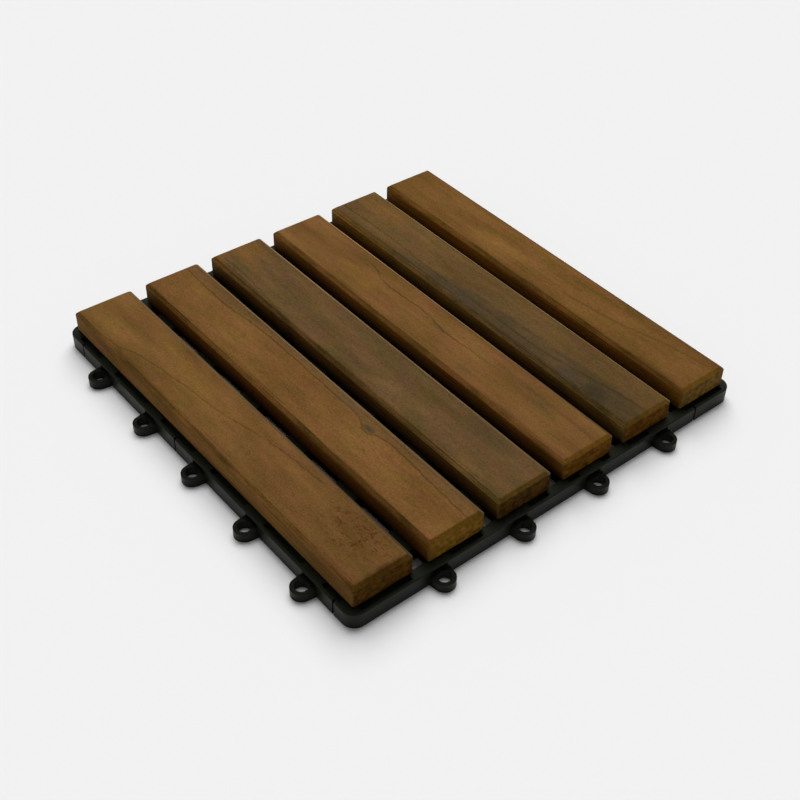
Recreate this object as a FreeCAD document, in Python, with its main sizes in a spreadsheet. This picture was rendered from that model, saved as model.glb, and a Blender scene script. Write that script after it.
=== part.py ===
import FreeCAD, Part
import math
import os

import Sketcher

# Interlocking deck tile: six wooden slats screwed from below onto a moulded plastic grid.
# Millimetres. The slats run along Y, and +Z is up. The origin is on the floor under the middle
# of the square base. Loops stand out of the -X and -Y sides. Pins that drop into the loops of
# a neighbouring tile hang behind notches in the +X and +Y sides.

SIZES = {
    # Square base: outer rim, ledge and the inner wall that the grid joins
    "tile_side": 300.0,
    "corner_radius": 8.0,
    "rim_height": 10.5,
    "rim_wall": 2.0,
    "rim_round": 0.8,
    "ledge_width": 5.5,
    "inner_wall": 1.5,
    "corner_block": 13.0,
    # Gutters in the top of the ledge
    "gutter_depth": 2.5,
    "gutter_inset": 3.0,
    # Cross strips that the slats lie on, ribs under the slats' edges and posts down to the floor
    "seat_height": 11.0,
    "strip_count": 6,
    "strip_width": 17.6,
    "strip_plate": 2.0,
    "strip_margin": 28.75,
    "strip_shift": -2.0,
    "rib_wall": 1.5,
    "rib_inset": 4.0,
    "rib_lift": 2.0,
    "post_diameter": 8.0,
    # Wooden slats
    "slat_count": 6,
    "slat_width": 40.0,
    "slat_thickness": 14.5,
    "slat_setback": 5.0,
    "slat_far_setback": 3.8,
    "slat_bevel": 2.4,
    "slat_underside_bevel": 0.7,
    # Screws and their bosses
    "screw_diameter": 3.5,
    "screw_length": 16.0,
    "screw_tip": 4.0,
    "head_diameter": 7.0,
    "head_height": 2.2,
    "head_bevel": 0.6,
    "recess_width": 3.6,
    "recess_slot": 0.9,
    "recess_depth": 1.3,
    "screw_seat": 6.0,
    "screw_clearance": 0.5,
    "pilot_clearance": 0.1,
    "boss_wall": 1.5,
    # Loops that stand out of two sides, each on a tab under a round niche in the rim
    "loop_height": 5.8,
    "loop_diameter": 13.0,
    "loop_hole": 8.1,
    "loop_reach": 4.3,
    "tab_width": 14.4,
    "niche_clearance": 0.4,
    "niche_lip": 1.0,
    "side_loop_count": 5,
    "side_loop_pitch": 53.8,
    "side_loop_shift": -4.6,
    "front_loop_count": 4,
    "front_loop_pitch": 58.5,
    "front_loop_shift": -3.2,
    # Pins and sockets on the other two sides
    "tile_gap": 0.6,
    "pin_clearance": 1.6,
    "pin_lift": 0.8,
    "pin_bevel": 0.6,
    "pin_root": 0.8,
    "socket_clearance": 0.7,
    "socket_wall": 1.5,
    # Narrow drain slits in the rim
    "slit_width": 1.3,
    "slit_far": 130.0,
    "slit_middle": 21.0,
    "slit_near": -134.0,
    "slit_front": 115.0,
}

SLATS = range(SIZES["slat_count"])
STRIPS = range(SIZES["strip_count"])
# The strips that take screws, counted from the near end of the slats.
SCREWED_STRIPS = (0, 2, 3, 5)

# Lines that several sub-parts share, in terms of the sheet.
HALF = "sizes.tile_side / 2"
SLAT_NEAR = f"-({HALF} - sizes.slat_setback)"
SLAT_FAR = f"{HALF} - sizes.slat_far_setback"
SLAT_PITCH = "(sizes.tile_side - 2 * sizes.slat_setback - sizes.slat_width) / (sizes.slat_count - 1)"
STRIP_PITCH = "(sizes.tile_side - 2 * sizes.strip_margin) / (sizes.strip_count - 1)"
LOOP_RADIUS = "sizes.loop_diameter / 2"
SOCKET_HEIGHT = "(sizes.loop_height + sizes.socket_clearance)"
SOCKET_HALF = "(sizes.tab_width / 2 + sizes.socket_clearance)"
SOCKET_DEPTH = f"(sizes.loop_reach - sizes.tile_gap + {LOOP_RADIUS} + sizes.socket_clearance)"
# Middle of the inner wall on the loops' sides and on the deeper pins' sides.
GRID_LOW = f"-({HALF} - sizes.ledge_width - sizes.inner_wall / 2)"
GRID_HIGH = f"({HALF} - {SOCKET_DEPTH} - sizes.inner_wall / 2)"
PIN_DIAMETER = "(sizes.loop_hole - sizes.pin_clearance)"
BORE_DIAMETER = "(sizes.screw_diameter + sizes.screw_clearance)"
HEAD_BORE = "(sizes.head_diameter + sizes.screw_clearance)"

# Where the straight flank of a loop's tab touches the round eye: outward and along the side.
TAB_HALF = "sizes.tab_width / 2"
TAB_SPAN = f"(sizes.loop_reach ^ 2 + ({TAB_HALF}) ^ 2)"
TAB_FLANK = f"sqrt({TAB_SPAN} - ({LOOP_RADIUS}) ^ 2)"
FLANK_END = (
    f"(sizes.loop_reach + ({LOOP_RADIUS} * {TAB_FLANK} * {TAB_HALF}"
    f" - ({LOOP_RADIUS}) ^ 2 * sizes.loop_reach) / {TAB_SPAN})"
)
FLANK_END_HALF = (
    f"((({LOOP_RADIUS}) ^ 2 * {TAB_HALF} + {LOOP_RADIUS} * {TAB_FLANK} * sizes.loop_reach)"
    f" / {TAB_SPAN})"
)


def slat_x(index):
    """Middle of one slat across the tile."""
    return f"(({index} - (sizes.slat_count - 1) / 2) * {SLAT_PITCH})"


def gap_x(index):
    """Middle of the gap to the right of one slat."""
    return f"({slat_x(index)} + {SLAT_PITCH} / 2)"


def strip_y(index):
    """Middle of one cross strip along the slats."""
    return f"(sizes.strip_shift + ({index} - (sizes.strip_count - 1) / 2) * {STRIP_PITCH})"


SCREW_PLACES = [(slat_x(slat), strip_y(strip)) for slat in SLATS for strip in SCREWED_STRIPS]


def make_sheet(doc):
    sheet = doc.addObject("Spreadsheet::Sheet", "sizes")
    for line, (alias, value) in enumerate(SIZES.items(), start=1):
        sheet.set(f"A{line}", alias)
        sheet.set(f"B{line}", str(value))
        sheet.setAlias(f"B{line}", alias)
    doc.recompute()


def make_sketch(body, name, height=None):
    """Sketch on the body's horizontal plane, lifted to a height of the sheet."""
    sketch = body.newObject("Sketcher::SketchObject", name)
    plane = next(item for item in body.Origin.OriginFeatures if item.Role == "XY_Plane")
    sketch.AttachmentSupport = [(plane, "")]
    sketch.MapMode = "FlatFace"
    if height:
        sketch.setExpression("AttachmentOffset.Base.z", height)
    return sketch


def constrain(sketch, fixed, driven):
    """Add constraints: fixed ones as they are, driven ones with sizes that follow the sheet."""
    sketch.addConstraint(fixed)
    dimensions = [Sketcher.Constraint(*parts) for parts, expression in driven]
    for index, (parts, expression) in zip(sketch.addConstraint(dimensions), driven):
        sketch.setExpression(f"Constraints[{index}]", expression)


def from_origin(geometry, point, place):
    """Dimensions that hold a point of the sketch at an X and a Y."""
    kinds = ("DistanceX", "DistanceY")
    return [((kind, -1, 1, geometry, point, 1.0), span) for kind, span in zip(kinds, place)]


def add_polygon(sketch, places):
    """Closed polygon whose corners follow the sheet."""
    count = len(places)
    turns = [2 * math.pi * corner / count for corner in range(count)]
    starts = [FreeCAD.Vector(math.cos(turn), math.sin(turn), 0) for turn in turns]
    sides = [Part.LineSegment(starts[side], starts[(side + 1) % count]) for side in range(count)]
    lines = sketch.addGeometry(sides, False)
    fixed = []
    driven = []
    for side, place in enumerate(places):
        following = lines[(side + 1) % count]
        fixed.append(Sketcher.Constraint("Coincident", lines[side], 2, following, 1))
        driven += from_origin(lines[side], 1, place)
    constrain(sketch, fixed, driven)


def add_rectangle(sketch, left, right, near, far):
    """Rectangle between two X and two Y that follow the sheet."""
    add_polygon(sketch, [(left, near), (right, near), (right, far), (left, far)])


def add_circle(sketch, place, diameter):
    """Circle whose middle and diameter follow the sheet."""
    up = FreeCAD.Vector(0, 0, 1)
    circle = sketch.addGeometry(Part.Circle(FreeCAD.Vector(1, 1, 0), up, 1.0), False)
    driven = from_origin(circle, 3, place)
    driven.append((("Diameter", circle, 2.0), diameter))
    constrain(sketch, [], driven)


def make_pad(body, name, sketch, length):
    pad = body.newObject("PartDesign::Pad", name)
    pad.Profile = sketch
    pad.setExpression("Length", length)
    sketch.Visibility = False
    body.Document.recompute()
    return pad


def make_pocket(body, name, sketch, length, upward=True):
    """Cut up or down from the sketch's plane, and make sure that it removes something."""
    before = body.Shape.Volume
    pocket = body.newObject("PartDesign::Pocket", name)
    pocket.Profile = sketch
    pocket.Reversed = upward
    pocket.setExpression("Length", length)
    sketch.Visibility = False
    body.Document.recompute()
    if body.Shape.Volume >= before:
        raise RuntimeError(f"{name} removes nothing")
    return pocket


def dress(body, kind, name, base, size_name, size, chosen):
    """Fillet or chamfer on the edges whose middle point is at a chosen height."""
    feature = body.newObject(f"PartDesign::{kind}", name)
    names = []
    for number, edge in enumerate(base.Shape.Edges, start=1):
        middle = edge.valueAt((edge.FirstParameter + edge.LastParameter) / 2)
        if abs(middle.z - chosen) < 0.01:
            names.append(f"Edge{number}")
    feature.Base = (base, names)
    feature.setExpression(size_name, size)
    body.Document.recompute()
    return feature


def make_rim(body):
    """Rounded square rim round the opening for the grid, with a hollow ledge."""
    outline = make_sketch(body, "rim_outline")
    add_rectangle(outline, f"-{HALF}", HALF, f"-{HALF}", HALF)
    block = make_pad(body, "rim_block", outline, "sizes.rim_height")
    height = SIZES["rim_height"]
    corners = dress(body, "Fillet", "rim_corners", block, "Radius", "sizes.corner_radius", height / 2)
    dress(body, "Fillet", "rim_crest", corners, "Radius", "sizes.rim_round", height)

    opening = make_sketch(body, "opening_plan")
    low = f"{GRID_LOW} + sizes.inner_wall / 2"
    high = f"{GRID_HIGH} - sizes.inner_wall / 2"
    add_rectangle(opening, low, high, low, high)
    make_pocket(body, "opening", opening, "sizes.rim_height")


def make_ledge(body):
    """Channels under the ledge and gutters in its top, narrow at the loops, wide at the pins."""
    outer = f"({HALF} - sizes.rim_wall)"
    inner_low = f"({HALF} - sizes.ledge_width)"
    inner_high = f"({HALF} - {SOCKET_DEPTH})"
    reach = f"({HALF} - sizes.corner_block)"

    channels = make_sketch(body, "channel_plan")
    add_rectangle(channels, f"-{outer}", f"-{inner_low}", f"-{reach}", reach)
    add_rectangle(channels, inner_high, outer, f"-{reach}", reach)
    add_rectangle(channels, f"-{reach}", reach, f"-{outer}", f"-{inner_low}")
    add_rectangle(channels, f"-{reach}", reach, inner_high, outer)
    make_pocket(body, "channels", channels, SOCKET_HEIGHT)

    sides = make_sketch(body, "side_gutter_plan", "sizes.rim_height")
    add_rectangle(sides, f"-{outer}", f"-{inner_low}", f"-{reach}", reach)
    add_rectangle(sides, inner_high, outer, f"-{reach}", reach)
    make_pocket(body, "side_gutters", sides, "sizes.gutter_depth", upward=False)

    ends = make_sketch(body, "end_gutter_plan", "sizes.rim_height")
    half = "(sizes.slat_width / 2 - sizes.gutter_inset)"
    for slat in SLATS:
        left = f"{slat_x(slat)} - {half}"
        right = f"{slat_x(slat)} + {half}"
        add_rectangle(ends, left, right, f"-{outer}", f"-{inner_low}")
        add_rectangle(ends, left, right, inner_high, outer)
    make_pocket(body, "end_gutters", ends, "sizes.gutter_depth", upward=False)


class Place:
    """Place of one loop or pin: turns distances outward and along its side into X and Y."""

    def __init__(self, row, number, sign):
        middle = f"({number} - (sizes.{row}_loop_count - 1) / 2)"
        self.along = f"(sizes.{row}_loop_shift + {middle} * sizes.{row}_loop_pitch)"
        self.row = row
        self.sign = sign

    def spot(self, outward, along="0"):
        """Point at a distance out of the rim's face, and along the side from the place."""
        line = f"{self.sign}({HALF} + ({outward}))"
        place = f"{self.along} + ({along})"
        return (line, place) if self.row == "side" else (place, line)

    def box(self, sketch, inner, outer, start, end):
        corners = ((inner, start), (outer, start), (outer, end), (inner, end))
        add_polygon(sketch, [self.spot(*corner) for corner in corners])


def places(sign):
    """Every place of a loop on the -X and -Y sides, or of its pin on the +X and +Y sides."""
    rows = ("side", "front")
    return [Place(row, number, sign) for row in rows for number in range(SIZES[f"{row}_loop_count"])]


def make_loops(body):
    """Loops: a solid block in the ledge, a round niche above, the tab and its round eye."""
    blocks = make_sketch(body, "block_plan")
    niches = make_sketch(body, "niche_plan", "sizes.loop_height")
    tabs = make_sketch(body, "tab_plan")
    rings = make_sketch(body, "ring_plan")
    eyes = make_sketch(body, "eye_plan")
    block_half = f"({TAB_HALF} + sizes.rim_wall)"
    inside = "-sizes.rim_wall / 2"
    niche_diameter = "sizes.loop_diameter + 2 * sizes.niche_clearance"
    tab_outline = [
        (inside, f"-{TAB_HALF}"),
        ("0", f"-{TAB_HALF}"),
        (FLANK_END, f"-{FLANK_END_HALF}"),
        (FLANK_END, FLANK_END_HALF),
        ("0", TAB_HALF),
        (inside, TAB_HALF),
    ]
    for place in places("-"):
        middle = place.spot("sizes.loop_reach")
        place.box(blocks, "-sizes.ledge_width", inside, f"-{block_half}", block_half)
        add_circle(niches, middle, niche_diameter)
        add_polygon(tabs, [place.spot(*corner) for corner in tab_outline])
        add_circle(rings, middle, "sizes.loop_diameter")
        add_circle(eyes, middle, "sizes.loop_hole")
    make_pad(body, "blocks", blocks, "sizes.rim_height")
    make_pocket(body, "niches", niches, "sizes.rim_height - sizes.niche_lip - sizes.loop_height")
    make_pad(body, "tabs", tabs, "sizes.loop_height")
    make_pad(body, "rings", rings, "sizes.loop_height")
    make_pocket(body, "eyes", eyes, "sizes.loop_height")


def make_pins(body):
    """Pins: a notch in the rim for the loop, walls beside it and the pin behind it."""
    notches = make_sketch(body, "notch_plan")
    walls = make_sketch(body, "socket_wall_plan")
    tips = make_sketch(body, "pin_tip_plan", "sizes.pin_lift")
    pins = make_sketch(body, "pin_plan", "sizes.pin_lift + sizes.pin_bevel")
    far = f"({SOCKET_HALF} + sizes.socket_wall)"
    deep = f"-({SOCKET_DEPTH} + sizes.inner_wall / 2)"
    for place in places(""):
        place.box(notches, "-sizes.rim_wall", "sizes.rim_wall", f"-{SOCKET_HALF}", SOCKET_HALF)
        place.box(walls, deep, "-sizes.rim_wall / 2", f"-{far}", f"-{SOCKET_HALF}")
        place.box(walls, deep, "-sizes.rim_wall / 2", SOCKET_HALF, far)
        pin = place.spot("sizes.tile_gap - sizes.loop_reach")
        add_circle(pins, pin, PIN_DIAMETER)
        add_circle(tips, pin, f"{PIN_DIAMETER} - 2 * sizes.pin_bevel")
    make_pocket(body, "notches", notches, SOCKET_HEIGHT)
    rise = f"{SOCKET_HEIGHT} + sizes.pin_root"
    make_pad(body, "socket_walls", walls, rise)
    make_pad(body, "pins", pins, f"{rise} - sizes.pin_lift - sizes.pin_bevel")
    tip = make_pad(body, "pin_tips", tips, "sizes.pin_bevel")
    tip.TaperAngle = 45.0
    body.Document.recompute()


def make_slits(body):
    """Narrow slits through the outer wall, from the floor to its crest."""
    plan = make_sketch(body, "slit_plan")
    inner = f"({HALF} - sizes.rim_wall)"
    outer = f"({HALF} + sizes.rim_wall)"
    half = "sizes.slit_width / 2"
    for low, high in ((f"-{outer}", f"-{inner}"), (inner, outer)):
        for place in ("sizes.slit_far", "sizes.slit_middle", "sizes.slit_near"):
            add_rectangle(plan, low, high, f"{place} - {half}", f"{place} + {half}")
        add_rectangle(plan, f"sizes.slit_front - {half}", f"sizes.slit_front + {half}", low, high)
    make_pocket(body, "slits", plan, "sizes.rim_height")


def make_strips(body):
    """Cross strips, each a plate with a rib down each edge, and posts under them in the gaps."""
    plates = make_sketch(body, "strip_plan", "sizes.seat_height - sizes.strip_plate")
    ribs = make_sketch(body, "strip_rib_plan", "sizes.rib_lift")
    posts = make_sketch(body, "post_plan")
    for strip in STRIPS:
        near = f"({strip_y(strip)} - sizes.strip_width / 2)"
        far = f"({strip_y(strip)} + sizes.strip_width / 2)"
        add_rectangle(plates, GRID_LOW, GRID_HIGH, near, far)
        add_rectangle(ribs, GRID_LOW, GRID_HIGH, near, f"{near} + sizes.rib_wall")
        add_rectangle(ribs, GRID_LOW, GRID_HIGH, f"{far} - sizes.rib_wall", far)
        for gap in SLATS[:-1]:
            add_circle(posts, (gap_x(gap), strip_y(strip)), "sizes.post_diameter")
    make_pad(body, "strips", plates, "sizes.strip_plate")
    make_pad(body, "strip_ribs", ribs, "sizes.seat_height - sizes.rib_lift")
    make_pad(body, "posts", posts, "sizes.seat_height - sizes.strip_plate / 2")


def make_bosses(body):
    """Bosses under the screwed strips, bored for the screws and wider for their heads."""
    bosses = make_sketch(body, "boss_plan", "sizes.rib_lift")
    bores = make_sketch(body, "screw_bore_plan")
    mouths = make_sketch(body, "head_bore_plan")
    for place in SCREW_PLACES:
        add_circle(bosses, place, f"{HEAD_BORE} + 2 * sizes.boss_wall")
        add_circle(bores, place, BORE_DIAMETER)
        add_circle(mouths, place, HEAD_BORE)
    rise = "sizes.seat_height - sizes.strip_plate / 2 - sizes.rib_lift"
    make_pad(body, "bosses", bosses, rise)
    make_pocket(body, "screw_bores", bores, "sizes.seat_height")
    make_pocket(body, "head_bores", mouths, "sizes.screw_seat")


def make_edge_ribs(body):
    """Ribs under the slats' edges on both sides of each gap, from one inner wall to the other."""
    plan = make_sketch(body, "edge_rib_plan", "sizes.rib_lift")
    spread = f"(({SLAT_PITCH} - sizes.slat_width) / 2 + sizes.rib_inset)"
    for gap in SLATS[:-1]:
        for sign in ("-", "+"):
            middle = f"{gap_x(gap)} {sign} {spread}"
            left = f"{middle} - sizes.rib_wall / 2"
            right = f"{middle} + sizes.rib_wall / 2"
            add_rectangle(plan, left, right, GRID_LOW, GRID_HIGH)
    make_pad(body, "edge_ribs", plan, "sizes.seat_height - sizes.rib_lift")


def make_base(doc):
    body = doc.addObject("PartDesign::Body", "base_body")
    body.Label = "deck_base"
    make_rim(body)
    make_ledge(body)
    make_loops(body)
    make_pins(body)
    make_slits(body)
    make_strips(body)
    make_bosses(body)
    make_edge_ribs(body)
    return body


def make_slat(doc, slat):
    """Slat with bevelled edges and pilot holes for its screws."""
    number = slat + 1
    body = doc.addObject("PartDesign::Body", f"slat_body_{number}")
    body.Label = f"slat_{number}"
    plan = make_sketch(body, f"slat_plan_{number}")
    half_width = "sizes.slat_width / 2"
    add_rectangle(plan, f"-{half_width}", half_width, SLAT_NEAR, SLAT_FAR)
    board = make_pad(body, f"board_{number}", plan, "sizes.slat_thickness")
    top = SIZES["slat_thickness"]
    crown = dress(body, "Chamfer", f"top_bevel_{number}", board, "Size", "sizes.slat_bevel", top)
    dress(body, "Chamfer", f"under_bevel_{number}", crown, "Size", "sizes.slat_underside_bevel", 0)

    holes = make_sketch(body, f"pilot_plan_{number}")
    for strip in SCREWED_STRIPS:
        add_circle(holes, ("0", strip_y(strip)), "sizes.screw_diameter + sizes.pilot_clearance")
    depth = "sizes.screw_seat + sizes.screw_length - sizes.seat_height + sizes.pilot_clearance"
    make_pocket(body, f"pilots_{number}", holes, depth)
    body.setExpression("Placement.Base.x", slat_x(slat))
    body.setExpression("Placement.Base.z", "sizes.seat_height")
    return body


def make_screw(doc):
    """One pan-head screw, point up, at the tile's middle."""
    profile = doc.addObject("Sketcher::SketchObject", "screw_profile")
    profile.Placement.Rotation = FreeCAD.Rotation(FreeCAD.Vector(1, 0, 0), 90)
    seat = "sizes.screw_seat"
    under = f"({seat} - sizes.head_height)"
    point = f"({seat} + sizes.screw_length)"
    head = "sizes.head_diameter / 2"
    shank = "sizes.screw_diameter / 2"
    outline = [
        ("0", under),
        (f"{head} - sizes.head_bevel", under),
        (head, f"{under} + sizes.head_bevel"),
        (head, seat),
        (shank, seat),
        (shank, f"{point} - sizes.screw_tip"),
        ("0", point),
    ]
    add_polygon(profile, outline)
    blank = doc.addObject("Part::Revolution", "screw_blank")
    blank.Source = profile
    blank.Axis = (0, 0, 1)
    blank.Base = (0, 0, 0)
    blank.Angle = 360
    blank.Solid = True

    bars = []
    spans = ("sizes.recess_width", "sizes.recess_slot")
    for name, (across, along) in (("recess_x", spans), ("recess_y", spans[::-1])):
        bar = doc.addObject("Part::Box", name)
        bar.setExpression("Length", across)
        bar.setExpression("Width", along)
        bar.setExpression("Height", "sizes.recess_depth")
        bar.setExpression("Placement.Base.x", f"-{across} / 2")
        bar.setExpression("Placement.Base.y", f"-{along} / 2")
        bar.setExpression("Placement.Base.z", under)
        bars.append(bar)
    recess = doc.addObject("Part::MultiFuse", "cross_recess")
    recess.Shapes = bars
    screw = doc.addObject("Part::Cut", "screw")
    screw.Base = blank
    screw.Tool = recess
    doc.recompute()
    return screw


def make_screws(doc):
    """All screws, driven up from below, as one compound of separate solids."""
    screw = make_screw(doc)
    copies = []
    for number, (across, along) in enumerate(SCREW_PLACES, start=1):
        copy = doc.addObject("App::Link", f"screw_{number}")
        copy.LinkedObject = screw
        copy.LinkTransform = True
        copy.setExpression("Placement.Base.x", across)
        copy.setExpression("Placement.Base.y", along)
        copies.append(copy)
    group = doc.addObject("Part::Compound", "screw_group")
    group.Links = copies
    group.Label = "slat_screws"
    return group


def check(doc, pieces):
    """Stop where an object failed to build or a sub-part has no sound shape."""
    failed = [item.Name for item in doc.Objects if "Invalid" in item.State or "Error" in item.State]
    if failed:
        raise RuntimeError(f"failed objects: {failed}")
    for piece in pieces:
        if piece.Shape.isNull() or not piece.Shape.isValid():
            raise RuntimeError(f"{piece.Label} has no sound shape")


def main():
    doc = FreeCAD.newDocument("deck_tile")
    make_sheet(doc)
    pieces = [make_base(doc)]
    for slat in SLATS:
        pieces.append(make_slat(doc, slat))
    pieces.append(make_screws(doc))
    doc.recompute()
    check(doc, pieces)
    os.makedirs("parts", exist_ok=True)
    for piece in pieces:
        piece.Shape.exportStep(f"parts/{piece.Label}.step")
        solids = len(piece.Shape.Solids)
        print(f"{piece.Label}: {solids} solids, {piece.Shape.Volume / 1000:.2f} cm3")


main()
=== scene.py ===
"""An interlocking deck tile: six oiled acacia slats screwed to a black plastic grid, which clips to others.

Metres, Z up, the origin on the floor under the middle of the square grid. Slat 1 is the leftmost, at the
lowest X, and the loops stand out to the left (-X) and the front (-Y).
"""

import math

import bmesh
import bpy
from mathutils import Matrix, Vector


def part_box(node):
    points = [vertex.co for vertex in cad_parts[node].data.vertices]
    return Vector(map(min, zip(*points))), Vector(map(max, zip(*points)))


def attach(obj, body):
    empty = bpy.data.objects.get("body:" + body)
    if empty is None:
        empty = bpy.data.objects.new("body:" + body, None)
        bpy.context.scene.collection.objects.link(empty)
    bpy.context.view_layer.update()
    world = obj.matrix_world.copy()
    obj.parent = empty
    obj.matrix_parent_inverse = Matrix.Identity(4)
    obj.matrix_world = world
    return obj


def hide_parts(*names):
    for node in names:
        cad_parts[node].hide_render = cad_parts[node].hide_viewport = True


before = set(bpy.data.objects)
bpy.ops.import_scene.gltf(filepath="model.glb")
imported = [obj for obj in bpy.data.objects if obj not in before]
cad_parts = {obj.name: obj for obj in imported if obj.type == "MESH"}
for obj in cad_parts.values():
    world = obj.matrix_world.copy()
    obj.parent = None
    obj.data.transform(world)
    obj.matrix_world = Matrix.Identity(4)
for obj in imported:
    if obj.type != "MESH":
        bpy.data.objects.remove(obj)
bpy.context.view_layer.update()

MM = 0.001
SLATS = ("slat_1", "slat_2", "slat_3", "slat_4", "slat_5", "slat_6")
LOWEST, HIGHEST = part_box(SLATS[0])
SLAT_LENGTH = (HIGHEST.y - LOWEST.y) / MM
SLAT_WIDTH = (HIGHEST.x - LOWEST.x) / MM

# Input and output numbers of the Mix node's number, vector and colour forms.
FACTOR = 0
NUMBER_A = 2
NUMBER_B = 3
VECTOR_A = 4
VECTOR_B = 5
COLOUR_A = 6
COLOUR_B = 7
MIXED_VECTOR = 1
MIXED = 2

# A range with a soft start and end.
SOFT = {"interpolation_type": "SMOOTHSTEP"}

# How far one step of a seed moves a noise.
SEED_STEP = (7.3, 3.1, 5.7)


def linear(code):
    """The linear value of an sRGB hex colour, with full alpha."""
    channels = [int(code[i:i + 2], 16) / 255 for i in (1, 3, 5)]
    values = [c / 12.92 if c <= 0.04045 else ((c + 0.055) / 1.055) ** 2.4 for c in channels]
    return (*values, 1.0)


def add(tree, kind, inputs=(), **settings):
    """Adds a node, sets its properties, and fills its inputs, in their order or by their keys. They take
    values, other nodes' outputs, or other nodes, each of which gives its first output."""
    made = tree.nodes.new("ShaderNode" + kind)
    for name, value in settings.items():
        setattr(made, name, value)
    for key, value in inputs.items() if isinstance(inputs, dict) else enumerate(inputs):
        if isinstance(value, bpy.types.Node):
            value = value.outputs[0]
        if isinstance(value, bpy.types.NodeSocket):
            tree.links.new(value, made.inputs[key])
        else:
            made.inputs[key].default_value = value
    return made


def blank_material(name):
    """A material with an empty node tree."""
    material = bpy.data.materials.new(name)
    material.use_nodes = True
    material.node_tree.nodes.clear()
    return material


def in_millimetres(tree):
    """The place of a point in the part's own frame, in millimetres."""
    place = add(tree, "TexCoord").outputs["Object"]
    return add(tree, "VectorMath", {0: place, "Scale": 1 / MM}, operation="SCALE")


def pattern(tree, place, size, seed, detail, roughness=0.55, distortion=0.0):
    """Noise from 0 to 1 whose blobs have the given size in millimetres."""
    stretched = add(tree, "VectorMath", (place, [1 / s for s in size]), operation="MULTIPLY")
    moved = add(tree, "VectorMath", (stretched, [seed * step for step in SEED_STEP]), operation="ADD")
    return add(tree, "TexNoise", {"Vector": moved, "Scale": 1.0, "Detail": detail, "Roughness": roughness,
                                  "Distortion": distortion}).outputs["Fac"]


# Acacia

# The wood's noises. Each has the size of its blobs in millimetres across the grain, along it and through the
# thickness, and then its detail, roughness and distortion. Each one's seed is one more than that before it.
# Mottle is the light and dark of the heartwood, fade says where marks are faint, blotch mottles the ends,
# waver bends the lines, sand is the grain that sanding leaves, plane is the planer's fine lines, and hue
# leans the colour one way or the other. Sand and fibre are drawn coarser than they are, so that they show.
NOISES = {
    "mottle": ((13.0, 60.0, 13.0), 2.0, 0.55, 0.0),
    "streak": ((2.4, 36.0, 2.4), 3.0, 0.55, 0.0),
    "fibre": ((0.8, 5.0, 0.8), 3.0, 0.62, 0.0),
    "fade": ((6.0, 22.0, 6.0), 2.0, 0.55, 0.0),
    "blotch": ((3.8, 3.8, 2.4), 3.0, 0.55, 0.0),
    "waver": ((9.0, 6.5, 9.0), 3.0, 0.60, 0.0),
    "sand": ((0.8, 1.3, 0.8), 2.0, 0.60, 0.0),
    "plane": ((0.55, 70.0, 0.55), 2.0, 0.55, 0.0),
    "hue": ((9.0, 22.0, 9.0), 2.0, 0.60, 0.0),
    "speck": ((3.0, 4.6, 3.0), 4.0, 0.60, 1.0),
}
# Seeds of two slats lie this far apart.
SLAT_SEED = 11.0

# The oiled heartwood leans to olive in some places and to rose in others. The bevels across the ends, the
# left bevels, the sides and the torn pores each lose some blue, and the sides between the slats lose the
# most, as the tint of their painted shade.
OLIVE = (0.93, 1.02, 0.86)
ROSE = (1.06, 0.985, 1.12)
PLAIN = (1.0, 1.0, 1.0)
SOAKED = (1.0, 1.0, 0.58)
MILD_TINT = (1.0, 0.98, 0.80)
GAP_SHADE_TINT = (1.0, 0.95, 0.50)
TORN = (0.66, 0.52, 0.36)

# Colours of a growth line and of the painted glare along the right edge.
GROWTH_LINE = linear("#2c1d0d")
GLARE_COLOUR = linear("#64513a")

# A range is (from, to, low, high): low up to from, high beyond to, and a blend between them. One without low
# and high takes them from elsewhere. From and to are values of a noise, shares of a facing, or millimetres.

# Heartwood: the places of its three tones on the mottle, where it is grey, the least and the most of that as
# shares of the recipe's, and where it leans to a hue.
TONE_PLACES = (0.28, 0.50, 0.74)
GREY_PLACES = (0.36, 0.66)
GREY_LEAST = 0.5
GREY_MOST = 1.5
HUE_PLACES = (0.34, 0.66, 0.0, 1.0)
# A stain starts this share of its soft width before its border, and is uneven.
STAIN_START = -0.2
STAIN_UNEVEN = (0.25, 0.65, 0.55, 1.1)
# A patch has a ragged edge, and goes this many millimetres deep.
PATCH_EDGE = (0.8, 1.7)
PATCH_RAGGED = 1.3
PATCH_DEPTH = 30.0
# A grain line wanders by some millimetres. It fades over shares of its width, over some millimetres at each
# end, and in places.
LINE_WANDERS = (0.0, 1.0, -1.3, 1.3)
LINE_EDGE = (0.35, 1.9)
LINE_FADE = 8.0
LINE_BREAKS = (0.28, 0.50, 0.55, 1.0)
# Growth rings: their bend in millimetres, their lean along the slat, their half pitch in millimetres, the
# shade of the lighter wood between them, and how much darker they are on the top and on the ends.
RING_BEND = 9.0
RING_LEAN = 0.035
RING_HALF = 1.9
RING_LIGHT = 1.03
RING_DEPTH = (0.0, 1.0, 0.04, 0.14)
# End grain: the faces that show it, and the places of its two tones.
END_FACES = (0.60, 0.92, 0.0, 1.0)
END_PLACES = (0.34, 0.66, 0.0, 1.0)
# Shades of the fine patterns, the run of the near end's shade, and the darker arris at the far end.
FIBRE_SHADE = (0.30, 0.70, 0.92, 1.08)
SAND_SHADE = (0.28, 0.72, 0.78, 1.22)
STREAK_SHADE = (0.30, 0.70, 0.95, 1.05)
NEAR_RUN = (-140.0, -20.0)
FAR_ARRIS = (142.6, 144.0, 1.0, 0.62)
# Planing lines: their belt along the edges with their depth there, their places, and the wood between them.
PLANE_BELT = (14.5, 17.5, 0.0, 0.40)
PLANE_LINES = (0.50, 0.60, 0.0, 1.0)
PLANE_LIGHT = 1.02
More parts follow.
